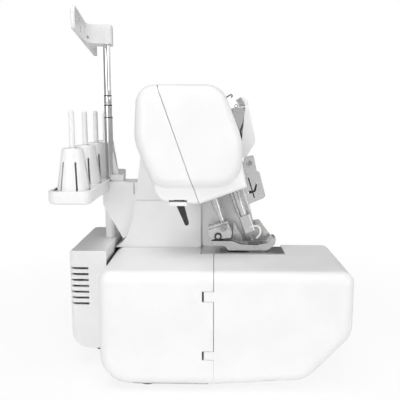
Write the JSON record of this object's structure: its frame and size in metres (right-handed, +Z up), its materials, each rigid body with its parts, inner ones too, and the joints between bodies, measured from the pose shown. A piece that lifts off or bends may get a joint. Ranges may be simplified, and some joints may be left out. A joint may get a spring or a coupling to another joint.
{
  "type": "serger overlock sewing machine",
  "caption": "Compact white overlock machine with a swing-out side cover, slanted needle and presser bars, trimming knives and a telescopic thread stand behind.",
  "frame": {"origin": "centre of the bounding box at the table", "axes": "+Z up, the operator at -Y, the handwheel at +X"},
  "size_m": [0.33, 0.298, 0.3695],
  "materials": {
    "white_plastic": "satin white moulding",
    "black_plastic": "fine grain",
    "clear_lens": "frosted lens",
    "black_rubber": "matt",
    "steel": "ground",
    "chrome": "polished",
    "cast_frame": "as cast"
  },
  "bodies": {
    "machine": {"arm_casing": "white_plastic", "bar_housing": "cast_frame", "base_plate": "cast_frame", "bed_casing": "white_plastic", "column_cover": "white_plastic", "cone_holders": "white_plastic", "cover_hinge_pins": "steel", "cover_screws": "steel", "drive_belt": "black_rubber", "head_front_cover": "white_plastic", "head_rear_cover": "white_plastic", "inlet_socket": "black_plastic", "lamp": "clear_lens", "left_end_cover": "white_plastic", "lower_knife": "steel", "main_frame": "cast_frame", "motor": "steel", "motor_box": "white_plastic", "needle_plate": "steel", "pivot_pins": "steel", "pole_lower": "chrome", "right_cover": "white_plastic", "rubber_feet": "black_rubber", "shaft_bushes": "steel", "spool_pins": "white_plastic", "spool_stand": "white_plastic", "stand_post": "white_plastic", "tension_end_plate": "steel", "tension_panel": "white_plastic", "thread_plate": "steel"},
    "side_cover": {"side_cover": "white_plastic"},
    "looper_cover": {"looper_cover": "white_plastic"},
    "drive": {"main_shaft": "steel", "shaft_pulley": "steel", "handwheel": "white_plastic"},
    "motor_rotor": {"motor_pulley": "steel"},
    "needle_assembly": {"needle_bar": "steel", "needle_clamp": "steel", "needles": "steel", "clamp_screws": "steel"},
    "presser": {"presser_bar": "steel", "foot_holder": "steel", "foot_screw": "steel", "foot_pin": "steel"},
    "foot": {"presser_foot": "steel"},
    "lifter": {"lifter_lever": "black_plastic"},
    "lower_looper": {"lower_looper": "steel"},
    "upper_looper": {"upper_looper": "steel"},
    "upper_knife": {"upper_knife": "steel"},
    "feed": {"feed_dog": "steel"},
    "dial_1": {"tension_dial_1": "white_plastic"},
    "dial_2": {"tension_dial_2": "white_plastic"},
    "dial_3": {"tension_dial_3": "white_plastic"},
    "dial_4": {"tension_dial_4": "white_plastic"},
    "stitch_dial": {"stitch_length_dial": "white_plastic"},
    "feed_dial": {"differential_dial": "white_plastic"},
    "switch": {"power_switch": "black_plastic"},
    "tube_middle": {"pole_middle": "chrome"},
    "tube_upper": {"pole_upper": "chrome"},
    "guide": {"thread_guide_bar": "white_plastic"}
  },
  "joints": [
    {"name": "side_cover_swing", "type": "hinge", "parent": "machine", "child": "side_cover", "pos_m": [-0.163, -0.008, 0.065], "axis": [0, 0, 1], "range_deg": [-100, 0]},
    {"name": "looper_cover_tip", "type": "hinge", "parent": "machine", "child": "looper_cover", "pos_m": [0.036, -0.104, 0.015], "axis": [1, 0, 0], "range_deg": [0, 50]},
    {"name": "handwheel_turn", "type": "hinge", "parent": "machine", "child": "drive", "pos_m": [0.05, 0.04, 0.075], "axis": [1, 0, 0], "continuous": true},
    {"name": "motor_turn", "type": "hinge", "parent": "machine", "child": "motor_rotor", "pos_m": [-0.03, 0.121, 0.078], "axis": [1, 0, 0], "continuous": true},
    {"name": "needle_bar_slide", "type": "slide", "parent": "machine", "child": "needle_assembly", "axis": [0, 0.3322, 0.9432], "range_m": [-0.013, 0.01]},
    {"name": "presser_lift", "type": "slide", "parent": "machine", "child": "presser", "axis": [0, 0.3322, 0.9432], "range_m": [0, 0.006]},
    {"name": "foot_tilt", "type": "hinge", "parent": "presser", "child": "foot", "pos_m": [-0.075, -0.0172, 0.14], "axis": [-1, 0, 0], "range_deg": [0, 8]},
    {"name": "lifter_turn", "type": "hinge", "parent": "machine", "child": "lifter", "pos_m": [-0.104, 0.025, 0.193], "axis": [1, 0, 0], "range_deg": [0, 50]},
    {"name": "lower_looper_swing", "type": "hinge", "parent": "machine", "child": "lower_looper", "pos_m": [-0.08, -0.015, 0.04], "axis": [0, 1, 0], "range_deg": [-10, 7]},
    {"name": "upper_looper_swing", "type": "hinge", "parent": "machine", "child": "upper_looper", "pos_m": [-0.063, -0.02, 0.062], "axis": [0, 1, 0], "range_deg": [-10, 8]},
    {"name": "upper_knife_swing", "type": "hinge", "parent": "machine", "child": "upper_knife", "pos_m": [-0.0556, -0.036, 0.092], "axis": [1, 0, 0], "range_deg": [-4, 8]},
    {"name": "feed_slide", "type": "slide", "parent": "machine", "child": "feed", "axis": [0, 1, 0], "range_m": [-0.002, 0.002]},
    {"name": "tension_1_turn", "type": "hinge", "parent": "machine", "child": "dial_1", "pos_m": [-0.044, -0.0476, 0.257], "axis": [1, 0, 0], "range_deg": [-150, 150]},
    {"name": "tension_2_turn", "type": "hinge", "parent": "machine", "child": "dial_2", "pos_m": [-0.014, -0.0476, 0.257], "axis": [1, 0, 0], "range_deg": [-150, 150]},
    {"name": "tension_3_turn", "type": "hinge", "parent": "machine", "child": "dial_3", "pos_m": [0.016, -0.0476, 0.257], "axis": [1, 0, 0], "range_deg": [-150, 150]},
    {"name": "tension_4_turn", "type": "hinge", "parent": "machine", "child": "dial_4", "pos_m": [0.046, -0.0476, 0.257], "axis": [1, 0, 0], "range_deg": [-150, 150]},
    {"name": "stitch_length_turn", "type": "hinge", "parent": "machine", "child": "stitch_dial", "pos_m": [0.136, -0.02, 0.098], "axis": [1, 0, 0], "range_deg": [-135, 135]},
    {"name": "differential_turn", "type": "hinge", "parent": "machine", "child": "feed_dial", "pos_m": [0.136, -0.062, 0.072], "axis": [1, 0, 0], "range_deg": [-135, 135]},
    {"name": "switch_rock", "type": "hinge", "parent": "machine", "child": "switch", "pos_m": [0.1285, -0.03, 0.04], "axis": [0, 1, 0], "range_deg": [-12, 0]},
    {"name": "pole_middle_slide", "type": "slide", "parent": "machine", "child": "tube_middle", "axis": [0, 0, 1], "range_m": [-0.012, 0.097]},
    {"name": "pole_upper_slide", "type": "slide", "parent": "tube_middle", "child": "tube_upper", "axis": [0, 0, 1], "range_m": [-0.055, 0.045]},
    {"name": "guide_turn", "type": "hinge", "parent": "tube_upper", "child": "guide", "pos_m": [-0.041, 0.1087, 0.355], "axis": [0, 0, 1], "range_deg": [-29, 15]}
  ],
  "couplings": [
    {"joint": "motor_turn", "follows": "handwheel_turn", "ratio": 2.6667},
    {"joint": "lifter_turn", "follows": "presser_lift", "rad_per_m": 145.43}
  ]
}
